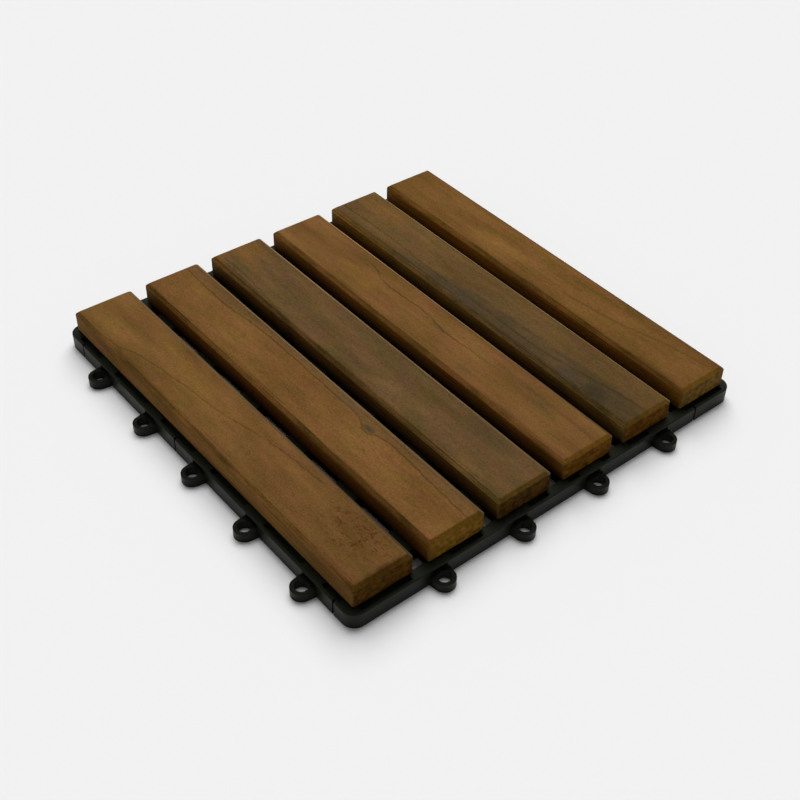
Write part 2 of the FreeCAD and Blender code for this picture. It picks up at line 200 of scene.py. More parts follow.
# Which facings are sides and bevels, and the runs of their shades: up a side, and along a bevel. These
# runs carry painted light and shade, mostly a highlight on the right bevels.
SIDE_FACES = (0.75, 0.95, 0.0, 1.0)
SIDE_RUN = (-12.5, -3.0)
END_BEVELS = (0.20, 0.45, 0.0, 1.0)
LEFT_BEVELS = (-0.20, -0.45, 0.0, 1.0)
LEFT_RUN = (-110.0, 0.0)
LEFT_UNEVEN = (0.36, 0.64, 0.78, 1.16)
RIGHT_BEVELS = (0.15, 0.38)
RIGHT_RUN = (-130.0, 70.0)
# The painted glare along the right edge, a grey highlight: where it is, and how far up it has to face.
RIGHT_GLARE_BELT = (15.8, 17.8, 0.0, 0.75)
RIGHT_GLARE_UPWARD = (0.30, 0.60, 0.0, 1.0)
# Pores: the cell of one in millimetres, its edge in the cell, how crowded they are, and their shade.
PORE_CELL = (1.15, 6.5, 1.15)
PORE_EDGE = (0.10, 0.27, 1.0, 0.0)
PORE_CROWD = (0.38, 0.62, 0.15, 1.0)
PORE_SHADE = (0.0, 1.0, 1.0, 0.70)
# Specks: how dark the few are, how dark the many are from the middle of their place outwards, from which
# value of their noise on they show, in most slats and in a speckled one, and their soft edge.
SPECKS_FEW = (0.50, 0.66, 0.0, 0.40)
SPECKS_MANY = (0.2, 1.15, 0.95, 0.0)
SPECKS_FROM = 0.62
SPECKLED_FROM = 0.54
SPECK_EDGE = 0.08
# Pale arrises, partly wear and partly painted highlight: their width, the turn that shows one, where they are
# pale, and how pale that makes them.
ARRIS_WIDTH = 1.1 * MM
ARRIS_TURN = (0.90, 0.985, 1.0, 0.0)
WEAR_AND_HIGHLIGHT_PLACES = (0.35, 0.60, 0.2, 1.0)
WEAR_AND_HIGHLIGHT_SHADE = (0.0, 1.0, 1.0, 1.22)
# Relief: the share of the fibres in it, and its depth. The oil's film is satin, and smoother on some streaks.
FIBRE_RELIEF = 0.5
RELIEF_DEPTH = 0.10 * MM
OIL_ROUGHNESS = (0.25, 0.75, 0.68, 0.58)

# What each slat shows. Tones are the oiled heartwood from dark to light, stain is the greyer heartwood, and
# stained is the share of it. End holds the end grain's two tones, and pith is the rings' middle, across and
# up from the middle of the slat's top. Near is the shade of the near end. The left and right bevels' painted
# light and shade, mostly a highlight on the right, are each given at the near end and further back, end_bevel
# is the shade of the bevels across the ends, and side is the painted light and shade of the long sides, low
# down and high up.
# A line goes through points (along, across), has a width to each side and a depth of tone, and shows within
# its reach along the slat. A boundary has a stain on its right (1) or its left (-1), and is drawn through its
# own points or along the first line. A patch is (along, across, length, width, colour, amount), and so is the
# speckled place without the last two. All of these are in millimetres from the slat's middle.
RECIPES = {
    "slat_1": {
        "tones": ("#624420", "#714f29", "#7d592e"),
        "stain": "#55472d",
        "stained": 0.10,
        "end": ("#422803", "#6b460a"),
        "near": 0.84,
        "left_bevel_painted_light": (1.12, 1.12),
        "right_bevel_painted_light": (0.72, 1.08),
        "end_bevel": 0.90,
        "side": (1.75, 1.32),
        "pith": (34.0, -46.0),
        "lines": [
            {"points": [(-145, 16), (-71, 13), (-25, 8), (7, 1), (55, -5), (89, -12), (96, -15.5),
                        (145, -17)],
             "width": 0.50, "depth": 0.30, "reach": (-80, 112)},
        ],
        "boundary": None,
        "speckled": (-116, 6, 34, 20),
        "patches": [(-112, 8, 30, 12, "#3d2a11", 0.34), (-60, 13, 26, 4, "#4c3a22", 0.30),
                    (-144, 0, 4, 22, "#2c1a07", 0.60), (35, 3, 62, 14, "#83602f", 0.45)],
    },
    "slat_2": {
        "tones": ("#634520", "#724f29", "#7d582f"),
        "stain": "#5d4c2f",
        "stained": 0.06,
        "end": ("#6a4b14", "#936a1f"),
        "near": 0.97,
        "left_bevel_painted_light": (0.80, 1.15),
        "right_bevel_painted_light": (1.00, 1.75),
        "end_bevel": 0.80,
        "side": (0.42, 1.55),
        "pith": (-52.0, -30.0),
        "lines": [
            {"points": [(-145, 8.7), (-110, 10), (-69, 11.2), (-62, 9.4), (-55, 6.6), (-49, 9.2),
                        (-44, 11.2), (-10, 12.4), (40, 12.6), (66, 11.8), (95, 9), (145, 10.4)],
             "width": 0.50, "depth": 0.46, "reach": (-145, 145)},
        ],
        "boundary": {"points": None, "side": 1, "soft": 1.6, "colour": "#5b472b", "amount": 0.50},
        "speckled": None,
        "patches": [(-55, 9.6, 7, 2.6, "#3c382c", 0.70), (-30, 14, 20, 4, "#514835", 0.30)],
    },
    "slat_3": {
        "tones": ("#584122", "#65492a", "#6f5231"),
        "stain": "#53452d",
        "stained": 0.32,
        "end": ("#321e01", "#603f04"),
        "near": 0.96,
        "left_bevel_painted_light": (1.50, 1.10),
        "right_bevel_painted_light": (1.15, 2.30),
        "end_bevel": 1.10,
        "side": (0.42, 2.0),
        "pith": (46.0, -26.0),
        "lines": [
            {"points": [(-145, -22), (25, -22), (62, -18.8), (98, -14.4), (128, -13.2), (145, -13.6)],
             "width": 0.55, "depth": 0.30, "reach": (30, 140)},
            {"points": [(-145, -23), (50, -23), (78, -19), (104, -17.2), (145, -16.6)],
             "width": 0.50, "depth": 0.24, "reach": (60, 145)},
        ],
        "boundary": None,
        "speckled": None,
        "patches": [(136, 2, 26, 16, "#7c5528", 0.50), (140, -15, 16, 7, "#825727", 0.45),
                    (-104, 12, 36, 11, "#463a22", 0.55), (-4, 14, 76, 7, "#4f4026", 0.48),
                    (-112, -15, 14, 6, "#73572f", 0.45), (-32, -8, 16, 7, "#745737", 0.45)],
    },
    "slat_4": {
        "tones": ("#644621", "#73502a", "#7f5930"),
        "stain": "#5e4d31",
        "stained": 0.08,
        "end": ("#553503", "#875809"),
        "near": 0.86,
        "left_bevel_painted_light": (1.20, 1.10),
        "right_bevel_painted_light": (0.58, 2.85),
        "end_bevel": 1.13,
        "side": (0.42, 1.9),
        "pith": (-40.0, -44.0),
        "lines": [
            {"points": [(-145, 7), (-80, 5.5), (-39, 3.8), (-15, 2.4), (-6, 3.4), (7, 6), (31, 5), (55, 5.4),
                        (67, 10), (90, 12), (145, 12)],
             "width": 0.50, "depth": 0.44, "reach": (-50, 74)},
            {"points": [(-145, 6.6), (-100, 8), (-60, 9), (145, 12)],
             "width": 1.1, "depth": 0.16, "reach": (-145, -55)},
        ],
        "boundary": None,
        "speckled": None,
        "patches": [(-101, 3, 15, 5, "#5a482c", 0.50), (-48, -12, 12, 6, "#664632", 0.35),
                    (-84, 7, 26, 3, "#5d452b", 0.35), (-10, 3, 12, 2.5, "#4b4130", 0.45),
                    (60, -2, 34, 12, "#86602f", 0.45)],
    },
    "slat_5": {
        "tones": ("#594020", "#664b28", "#70532d"),
        "stain": "#50432d",
        "stained": 0.22,
        "end": ("#4b2c02", "#794d08"),
        "near": 0.88,
        "left_bevel_painted_light": (1.38, 1.70),
        "right_bevel_painted_light": (2.60, 3.10),
        "end_bevel": 1.28,
        "side": (0.85, 3.3),
        "pith": (38.0, -34.0),
        "lines": [
            {"points": [(-145, -1), (-125, -2), (-105, -5), (-85, -8), (-65, -10.8), (0, -11.4), (60, -10.6),
                        (80, -9.6), (145, -11)],
             "width": 0.60, "depth": 0.30, "reach": (-145, 145)},
        ],
        "boundary": {"points": [(-145, 1), (-85, -0.5), (-35, -2), (15, -3.5), (40, -8), (65, -13), (90, -18),
                                (145, -21)],
                     "side": -1, "soft": 3.6, "colour": "#3e3626", "amount": 0.62},
        "speckled": None,
        "patches": [(-113, -13, 14, 7, "#2c2c22", 0.60), (-90, -14, 12, 7, "#3c3a33", 0.35),
                    (-105, -3, 34, 6, "#4a3c26", 0.50), (-28, -8, 12, 9, "#3f3722", 0.50),
                    (8, -13, 24, 6, "#3b3630", 0.38), (-20, 1, 60, 6, "#4c3f26", 0.30),
                    (120, 8, 34, 12, "#7d562a", 0.40)],
    },
    "slat_6": {
        "tones": ("#62451e", "#714f26", "#7d582d"),
        "stain": "#5f4d2f",
        "stained": 0.06,
        "end": ("#60451b", "#916d2c"),
        "near": 0.88,
        "left_bevel_painted_light": (1.02, 1.13),
        "right_bevel_painted_light": (1.30, 1.60),
        "end_bevel": 1.15,
        "side": (0.75, 1.8),
        "pith": (-36.0, -50.0),
        "lines": [
            {"points": [(-145, 11), (-126, 9), (-105, 6), (-75, -2), (-35, -7), (145, -16)],
             "width": 0.9, "depth": 0.26, "reach": (-142, -30)},
        ],
        "boundary": None,
        "speckled": None,
        "patches": [(40, -6, 30, 8, "#8a6530", 0.30), (-110, 2, 30, 10, "#63451f", 0.30)],
    },
}


def slat_place(tree, node):
    """Millimetres across, along and up from the middle of a slat's top."""
    low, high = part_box(node)
    middle = Vector(((low.x + high.x) / 2, (low.y + high.y) / 2, high.z))
    place = add(tree, "TexCoord").outputs["Object"]
    moved = add(tree, "VectorMath", (place, middle), operation="SUBTRACT")
    return add(tree, "VectorMath", {0: moved, "Scale": 1 / MM}, operation="SCALE")


class Wood:
    """What a slat's marks are drawn from: a point's place, the way that it faces, and the noises there. A
    long bevel faces up and sideways at once, so long_edge is below 0 on the left, above 0 on the right."""

    def __init__(self, tree, node, seed):
        self.tree = tree
        self.place = slat_place(tree, node)
        self.across, self.along, self.up = add(tree, "SeparateXYZ", (self.place,)).outputs
        facing = add(tree, "TexCoord").outputs["Normal"]
        self.facing_across, facing_along, self.facing_up = add(tree, "SeparateXYZ", (facing,)).outputs
        self.facing_end = add(tree, "Math", (facing_along,), operation="ABSOLUTE")
        self.long_edge = add(tree, "Math", (self.facing_across, self.facing_up), operation="MULTIPLY")
        self.noise = {}
        for step, (name, (size, *character)) in enumerate(NOISES.items()):
            self.noise[name] = pattern(tree, self.place, size, seed + step, *character)


def heartwood(wood, recipe):
    """Heartwood from dark to light, with the greyer heartwood over it, leaning to olive and to rose."""
    tree = wood.tree
    tones = add(tree, "ValToRGB", (wood.noise["mottle"],))
    stops = tones.color_ramp.elements
    stops.new(TONE_PLACES[1])
    for stop, position, tone in zip(stops, TONE_PLACES, recipe["tones"]):
        stop.position = position
        stop.color = linear(tone)
    least = recipe["stained"] * GREY_LEAST
    most = min(1.0, recipe["stained"] * GREY_MOST)
    grey = add(tree, "MapRange", (wood.noise["fade"], *GREY_PLACES, least, most), **SOFT)
    colour = add(tree, "Mix", {FACTOR: grey, COLOUR_A: tones, COLOUR_B: linear(recipe["stain"])},
                 data_type="RGBA").outputs[MIXED]
    leaning = add(tree, "MapRange", (wood.noise["hue"], *HUE_PLACES))
    hue = add(tree, "Mix", {FACTOR: leaning, VECTOR_A: OLIVE, VECTOR_B: ROSE}, data_type="VECTOR")
    return add(tree, "VectorMath", (colour, hue.outputs[MIXED_VECTOR]), operation="MULTIPLY")


def grain_line(wood, points, wander):
    """Signed millimetres from a line through the points, which wanders a little."""
    tree = wood.tree
    half = SLAT_LENGTH / 2
    share = add(tree, "MapRange", (wood.along, -half, half, 0.0, 1.0))
    curve = add(tree, "FloatCurve", {"Value": share})
    bends = curve.mapping.curves[0].points
    places = [((y + half) / SLAT_LENGTH, (x + SLAT_WIDTH) / (2 * SLAT_WIDTH)) for y, x in points]
    bends[0].location = places[0]
    bends[1].location = places[-1]
    for place in places[1:-1]:
        bends.new(*place)
    curve.mapping.update()
    line = add(tree, "MapRange", (curve, 0.0, 1.0, -SLAT_WIDTH, SLAT_WIDTH))
    off = add(tree, "Math", (wood.across, line), operation="SUBTRACT")
    return add(tree, "Math", (off, wander), operation="ADD")


def growth_line(wood, off, line):
    """Mask of a thin line, broken in places, that fades out at both ends of its reach."""
    tree = wood.tree
    distance = add(tree, "Math", (off,), operation="ABSOLUTE")
    core, edge = [line["width"] * share for share in LINE_EDGE]
    mask = add(tree, "MapRange", (distance, core, edge, line["depth"], 0.0), **SOFT)
    first, last = line["reach"]
    starts = add(tree, "MapRange", (wood.along, first - LINE_FADE, first + LINE_FADE, 0.0, 1.0), **SOFT)
    ends = add(tree, "MapRange", (wood.along, last - LINE_FADE, last + LINE_FADE, 1.0, 0.0), **SOFT)
    broken = add(tree, "MapRange", (wood.noise["fade"], *LINE_BREAKS))
    for factor in (starts, ends, broken):
        mask = add(tree, "Math", (mask, factor), operation="MULTIPLY")
    return mask


def stained_side(wood, boundary, first_line, wander):
    """Mask and colour of the stain on one side of a boundary."""
    tree = wood.tree
    border = first_line
    if boundary["points"]:
        border = grain_line(wood, boundary["points"], wander)
    reach = boundary["soft"] * boundary["side"]
    amount = boundary["amount"]
    stained = add(tree, "MapRange", (border, reach * STAIN_START, reach, 0.0, amount), **SOFT)
    uneven = add(tree, "MapRange", (wood.noise["fade"], *STAIN_UNEVEN))
    mask = add(tree, "Math", (stained, uneven), operation="MULTIPLY")
    return mask, linear(boundary["colour"])


def from_spot(wood, along, across, length, width):
    """Distance from the middle of a spot, which is 1 at its length and at its width."""
    centred = add(wood.tree, "VectorMath", (wood.place, (across, along, 0)), operation="SUBTRACT")
    shares = (1 / width, 1 / length, 1 / PATCH_DEPTH)
    shrunk = add(wood.tree, "VectorMath", (centred, shares), operation="MULTIPLY")
    return add(wood.tree, "VectorMath", (shrunk,), operation="LENGTH").outputs["Value"]


def ragged_patch(wood, patch):
    """Mask and colour of a patch with a ragged soft edge."""
    *spot, tint, amount = patch
    distance = from_spot(wood, *spot)
    ragged = add(wood.tree, "Math", (wood.noise["fade"], PATCH_RAGGED, distance), operation="MULTIPLY_ADD")
    mask = add(wood.tree, "MapRange", (ragged, *PATCH_EDGE, amount, 0.0), **SOFT)
    return mask, linear(tint)


def end_grain(wood, tones):
    """Mask and colour of the ends: darker and more mottled, because the open fibres drink the oil."""
    dark, light = [linear(tone) for tone in tones]
    mask = add(wood.tree, "MapRange", (wood.facing_end, *END_FACES), **SOFT)
    share = add(wood.tree, "MapRange", (wood.noise["blotch"], *END_PLACES))
    tone = add(wood.tree, "Mix", {FACTOR: share, COLOUR_A: dark, COLOUR_B: light}, data_type="RGBA")
    return mask, tone.outputs[MIXED]


def growth_rings(wood, pith, on_end):
    """Shade of the rings around a pith below the slat. They show most on the ends."""
    tree = wood.tree
    pith_across, pith_up = pith
    bent = add(tree, "Math", (wood.noise["mottle"], RING_BEND), operation="MULTIPLY")
    sideways = add(tree, "Math", (wood.across, pith_across), operation="SUBTRACT")
    lean = add(tree, "Math", (wood.along, RING_LEAN, -pith_up), operation="MULTIPLY_ADD")
    upwards = add(tree, "Math", (wood.up, lean), operation="ADD")
    from_pith = add(tree, "CombineXYZ", (sideways, 0.0, upwards))
    radius = add(tree, "VectorMath", (from_pith,), operation="LENGTH").outputs["Value"]
    bent_radius = add(tree, "Math", (radius, bent), operation="ADD")
    ring = add(tree, "Math", (bent_radius, RING_HALF), operation="PINGPONG")
    share = add(tree, "MapRange", (ring, 0.0, RING_HALF, 0.0, 1.0), **SOFT)
    depth = add(tree, "MapRange", (on_end, *RING_DEPTH))
    dip = add(tree, "Math", (share, depth), operation="MULTIPLY")
    return add(tree, "Math", (RING_LIGHT, dip), operation="SUBTRACT")


def planing_lines(wood):
    """Shade of the fine lines that run along the planed edges."""
    tree = wood.tree
    from_middle = add(tree, "Math", (wood.across,), operation="ABSOLUTE")
    belt = add(tree, "MapRange", (from_middle, *PLANE_BELT))
    lines = add(tree, "MapRange", (wood.noise["plane"], *PLANE_LINES))
    dip = add(tree, "Math", (lines, belt), operation="MULTIPLY")
    return add(tree, "Math", (PLANE_LIGHT, dip), operation="SUBTRACT")


def long_sides_painted_shade(wood, node, shades):
    """Mask, shade and tint of the long sides, without the last slat's right side, which is in the open. The
    shade is painted light and shade that runs up the side, and the tint goes with it.
    """
    tree = wood.tree
    if node == SLATS[-1]:
        facing_side = add(tree, "Math", (wood.facing_across, -1.0), operation="MULTIPLY")
    else:
        facing_side = add(tree, "Math", (wood.facing_across,), operation="ABSOLUTE")
    mask = add(tree, "MapRange", (facing_side, *SIDE_FACES))
    # Painted light and shade up the side.
    shade = add(tree, "MapRange", (wood.up, *SIDE_RUN, *shades))
    tint = MILD_TINT if node == SLATS[0] else GAP_SHADE_TINT
    return mask, shade, tint


def left_bevel_painted_light(wood, shades):
    """Mask, shade and tint of the left bevel. The shade is painted light and shade along the bevel, made
    uneven by a noise.
    """
    mask = add(wood.tree, "MapRange", (wood.long_edge, *LEFT_BEVELS))
    # Painted light and shade along the left bevel.
    shade = add(wood.tree, "MapRange", (wood.along, *LEFT_RUN, *shades))
    uneven = add(wood.tree, "MapRange", (wood.noise["hue"], *LEFT_UNEVEN))
    shade = add(wood.tree, "Math", (shade, uneven), operation="MULTIPLY")
    return mask, shade, MILD_TINT


def end_bevels(wood, shade):
    """Mask, shade and tint of the bevels across the ends, which are soaked with oil."""
    both_ways = add(wood.tree, "Math", (wood.facing_end, wood.facing_up), operation="MULTIPLY")
    mask = add(wood.tree, "MapRange", (both_ways, *END_BEVELS))
    return mask, shade, SOAKED


def right_bevel_painted_light(wood, shades):
    """Painted light on the right bevel, mostly a highlight, as a shade which is 1 elsewhere."""
    shade = add(wood.tree, "MapRange", (wood.along, *RIGHT_RUN, *shades))
    return add(wood.tree, "MapRange", (wood.long_edge, *RIGHT_BEVELS, 1.0, shade))


def painted_glare_edge(wood):
    """Mask of the painted glare, a grey highlight along the upper edge on the right."""
    belt = add(wood.tree, "MapRange", (wood.across, *RIGHT_GLARE_BELT))
    upward = add(wood.tree, "MapRange", (wood.facing_up, *RIGHT_GLARE_UPWARD))
    return add(wood.tree, "Math", (belt, upward), operation="MULTIPLY")


def open_pores(wood):
    """Mask of the pores, fine dashes along the grain, drawn 0.4 mm wide so that they show."""
    tree = wood.tree
    scaled = add(tree, "VectorMath", (wood.place, [1 / s for s in PORE_CELL]), operation="MULTIPLY")
    cells = add(tree, "TexVoronoi", {"Vector": scaled, "Scale": 1.0, "Randomness": 1.0}, feature="F1")
    pore = add(tree, "MapRange", (cells.outputs["Distance"], *PORE_EDGE), **SOFT)
    crowd = add(tree, "MapRange", (wood.noise["fade"], *PORE_CROWD))
    return add(tree, "Math", (pore, crowd), operation="MULTIPLY")


def torn_pores(wood, speckled, on_end):
    """Mask of the specks: a few on all long faces, many where the slat is speckled, and none on its ends."""
    tree = wood.tree
    amount = add(tree, "MapRange", (wood.noise["streak"], *SPECKS_FEW))
    start = SPECKS_FROM
    if speckled:
        many = add(tree, "MapRange", (from_spot(wood, *speckled), *SPECKS_MANY), **SOFT)
        amount = add(tree, "Math", (amount, many), operation="MAXIMUM")
        start = SPECKLED_FROM
    torn = add(tree, "MapRange", (wood.noise["speck"], start, start + SPECK_EDGE, 0.0, 1.0), **SOFT)
    mask = add(tree, "Math", (torn, amount), operation="MULTIPLY")
    return add(tree, "Mix", {FACTOR: on_end, NUMBER_A: mask, NUMBER_B: 0.0})


def arrises_worn_and_highlit(wood):
    """Shade of the arrises, paler in places: partly wear where feet have worn the oil off, and partly painted
    highlight.
    """
    tree = wood.tree
    turned = add(tree, "Bevel", {"Radius": ARRIS_WIDTH}, samples=4)
    flat = add(tree, "NewGeometry").outputs["Normal"]
    agree = add(tree, "VectorMath", (turned, flat), operation="DOT_PRODUCT").outputs["Value"]
    arris = add(tree, "MapRange", (agree, *ARRIS_TURN), **SOFT)
    wear_and_highlight = add(tree, "MapRange", (wood.noise["fade"], *WEAR_AND_HIGHLIGHT_PLACES))
    mask = add(tree, "Math", (arris, wear_and_highlight), operation="MULTIPLY")
    return add(tree, "MapRange", (mask, *WEAR_AND_HIGHLIGHT_SHADE))


def wood_relief(wood, hollows):
    """Normals of raised fibres with hollows between them."""
    height = add(wood.tree, "Math", (wood.noise["fibre"], FIBRE_RELIEF), operation="MULTIPLY")
    for hollow in hollows:
        height = add(wood.tree, "Math", (height, hollow), operation="SUBTRACT")
    return add(wood.tree, "Bump", {"Strength": 1.0, "Distance": RELIEF_DEPTH, "Height": height})


def marked_heartwood(wood, recipe):
    """Heartwood with a stain, patches, growth lines and the end grain over it, in this order: its colour, the
    masks of the lines, and the mask of the ends."""
    tree = wood.tree
    wander = add(tree, "MapRange", (wood.noise["waver"], *LINE_WANDERS))
    offs = [grain_line(wood, line["points"], wander) for line in recipe["lines"]]
    lines = [growth_line(wood, off, line) for off, line in zip(offs, recipe["lines"])]
    on_end, end_tone = end_grain(wood, recipe["end"])
    coats = []
    if recipe["boundary"]:
        coats.append(stained_side(wood, recipe["boundary"], offs[0], wander))
    coats += [ragged_patch(wood, patch) for patch in recipe["patches"]]
    coats += [(line, GROWTH_LINE) for line in lines]
    coats.append((on_end, end_tone))
    colour = heartwood(wood, recipe)
    for mask, over in coats:
        colour = add(tree, "Mix", {FACTOR: mask, COLOUR_A: colour, COLOUR_B: over},
                     data_type="RGBA").outputs[MIXED]
    return colour, lines, on_end


def fine_shades(wood, recipe, on_end):
    """Shades of fibres, a sandy grain, streaks, rings and planing lines, and those of the slat's two ends."""
    tree = wood.tree
    return [
        add(tree, "MapRange", (wood.noise["fibre"], *FIBRE_SHADE)),
        add(tree, "MapRange", (wood.along, *FAR_ARRIS)),
        add(tree, "MapRange", (wood.noise["sand"], *SAND_SHADE)),
        add(tree, "MapRange", (wood.noise["streak"], *STREAK_SHADE)),
        add(tree, "MapRange", (wood.along, *NEAR_RUN, recipe["near"], 1.0), **SOFT),
        growth_rings(wood, recipe["pith"], on_end),
        planing_lines(wood),
    ]


def oiled_acacia(node, recipe, seed):
    """Planed and oiled acacia: a satin brown that turns greyer in places, fine dark pores along the grain, a
    dark growth line or two, darker mottled end grain, and paler arrises, partly worn and partly painted
    highlight.
    Its sides and long bevels carry painted light and shade, and its right edge a painted glare."""
    material = blank_material("Oiled acacia " + node)
    tree = material.node_tree
    wood = Wood(tree, node, seed)
    colour, lines, on_end = marked_heartwood(wood, recipe)
    pores = open_pores(wood)
    specks = torn_pores(wood, recipe["speckled"], on_end)

    # Each bevel and side has a shade and a tint of its own: the bevels across the ends are soaked with oil,
    # and on the sides and the left bevel the shade is painted light and shade.
    faces = [
        long_sides_painted_shade(wood, node, recipe["side"]),
        left_bevel_painted_light(wood, recipe["left_bevel_painted_light"]),
        end_bevels(wood, recipe["end_bevel"]),
    ]
    tints = [(mask, tint) for mask, _, tint in faces] + [(specks, TORN)]
    for mask, tint in tints:
        tinted = add(tree, "Mix", {FACTOR: mask, VECTOR_A: PLAIN, VECTOR_B: tint}, data_type="VECTOR")
        colour = add(tree, "VectorMath", (colour, tinted.outputs[MIXED_VECTOR]), operation="MULTIPLY")
    # Painted glare, grey, along the upper edge on the right.
    colour = add(tree, "Mix", {FACTOR: painted_glare_edge(wood), COLOUR_A: colour, COLOUR_B: GLARE_COLOUR},
                 data_type="RGBA").outputs[MIXED]

    shade, *others = fine_shades(wood, recipe, on_end)
    others += [add(tree, "Mix", {FACTOR: mask, NUMBER_A: 1.0, NUMBER_B: own}) for mask, own, _ in faces]
    others.append(add(tree, "MapRange", (pores, *PORE_SHADE)))
    # Paler arrises: partly wear, partly painted highlight.
    others.append(arrises_worn_and_highlit(wood))
    # Painted light on the right bevel, mostly a highlight.
    others.append(right_bevel_painted_light(wood, recipe["right_bevel_painted_light"]))
    for other in others:
        shade = add(tree, "Math", (shade, other), operation="MULTIPLY")
    colour = add(tree, "VectorMath", {0: colour, "Scale": shade}, operation="SCALE")

    roughness = add(tree, "MapRange", (wood.noise["streak"], *OIL_ROUGHNESS))
    relief = wood_relief(wood, [pores, specks, *lines])
    surface = add(tree, "BsdfPrincipled", {"Base Color": colour, "Roughness": roughness, "Normal": relief,
                                           "IOR": 1.12})
    add(tree, "OutputMaterial", {"Surface": surface})
    return material


# How far a slat's corners, the mitres of its bevels, its upper arrises and its lower arrises are worn round,
# in how many steps, and how far from the slat's outline an edge still counts as worn.
CORNER_EASE = 1.8 * MM
MITRE_EASE = 0.9 * MM
ARRIS_EASE = 0.5 * MM
UNDER_EASE = 0.3 * MM
EASE_STEPS = 4
WORN_BELT = 3.0 * MM

# Vertices this close are one, faces that turn less than this are one, and edges that fold less than this stay
# as they are. An edge that rises or runs less than this is level or upright, and the lower arrises lie below
# this height of the slat. Faces that turn less than the last are shaded as one.
WELD = 0.002 * MM
ONE_PLANE = math.radians(1.0)
FOLDED = math.radians(30)
STRAIGHT = 0.1 * MM
UNDER_HEIGHT = 1.0 * MM
SHADED_AS_ONE = math.radians(35)


def near_outline(corner, low, high):
    """Whether a corner lies in the worn belt along the slat's outline."""
    across = min(corner.x - low.x, high.x - corner.x)
    along = min(corner.y - low.y, high.y - corner.y)
    return across < WORN_BELT or along < WORN_BELT


def worn_share(edge, low):
    """How far an edge is worn round, as a share of what the corners are."""
    run = edge.verts[1].co - edge.verts[0].co
    if abs(run.z) > STRAIGHT and run.xy.length < STRAIGHT:
        return 1.0
    if abs(run.z) > STRAIGHT:
        return MITRE_EASE / CORNER_EASE
    if min(v.co.z for v in edge.verts) < low.z + UNDER_HEIGHT:
        return UNDER_EASE / CORNER_EASE
    return ARRIS_EASE / CORNER_EASE


def dress_slat(node, material):
    """The slat's own form with its arrises eased by a plane, and its corners worn rounder."""
    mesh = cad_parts[node].data.copy()
    mesh.name = node + "_wood"
    low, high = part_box(node)
    work = bmesh.new()
    work.from_mesh(mesh)
    bmesh.ops.remove_doubles(work, verts=work.verts, dist=WELD)
    bmesh.ops.dissolve_limit(work, angle_limit=ONE_PLANE, verts=work.verts, edges=work.edges)
    weight = work.edges.layers.float.new("bevel_weight_edge")
    for edge in work.edges:
        outside = all(near_outline(v.co, low, high) for v in edge.verts)
        if outside and len(edge.link_faces) == 2 and edge.calc_face_angle() > FOLDED:
            edge[weight] = worn_share(edge, low)
    work.to_mesh(mesh)
    work.free()
    mesh.materials.clear()
    mesh.materials.append(material)
    slat = bpy.data.objects.new(node + "_wood", mesh)
    bpy.context.scene.collection.objects.link(slat)
    ease = slat.modifiers.new("eased", "BEVEL")
    ease.width = CORNER_EASE
    ease.segments = EASE_STEPS
    ease.limit_method = "WEIGHT"
    ease.use_clamp_overlap = False
    ease.harden_normals = True
    mesh.shade_smooth()
    mesh.set_sharp_from_angle(angle=SHADED_AS_ONE)
    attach(slat, "root")
    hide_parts(node)
    return slat


for seed, node in enumerate(SLATS, 1):
    dress_slat(node, oiled_acacia(node, RECIPES[node], seed * SLAT_SEED))


# Plastic and steel

# Millimetres: the grit of the mould's surface, drawn coarser than it is so that it shows, and clouds of tone
# in the plastic and on the steel.
GRIT = (0.35, 0.35, 0.35)
PLASTIC_CLOUD = (16.0, 16.0, 16.0)
STEEL_CLOUD = (1.4, 1.4, 1.4)
# Ranges, as for the wood. The loops begin just outside the rim, and are painted darker than it, as painted
# shade.
LOOP_PAINTED_SHADE = (-150.2, -150.6, 1.0, 0.30)
# Dust lies on top of the rim, more of it towards the right, and unevenly.
DUST_HEIGHT = (9.0, 10.3, 0.0, 1.0)
DUST_RIGHTWARD = (-150.0, 150.0, 0.04, 0.22)
DUST_FILM = (0.35, 0.65, 0.3, 1.2)
DUST = linear("#3c3e34")
PLASTIC_ROUGHNESS = (0.3, 0.7, 0.42, 0.54)
STEEL_ROUGHNESS = (0.3, 0.7, 0.28, 0.42)
# The plastic's edges are rounded by this much, and its grit is this deep.
PLASTIC_EDGE = 0.45 * MM
GRIT_DEPTH = 0.02 * MM


def rim_dust(tree, sideways, height, cloud):
    """Mask of the dust on top of the rim."""
    facing = add(tree, "TexCoord").outputs["Normal"]
    facing_up = add(tree, "SeparateXYZ", (facing,)).outputs["Z"]
    above = add(tree, "MapRange", (height, *DUST_HEIGHT))
    rightward = add(tree, "MapRange", (sideways, *DUST_RIGHTWARD))
    film = add(tree, "MapRange", (cloud, *DUST_FILM))
    dust = add(tree, "Math", (facing_up, above), operation="MULTIPLY")
    for factor in (rightward, film):
        dust = add(tree, "Math", (dust, factor), operation="MULTIPLY", use_clamp=True)
    return dust


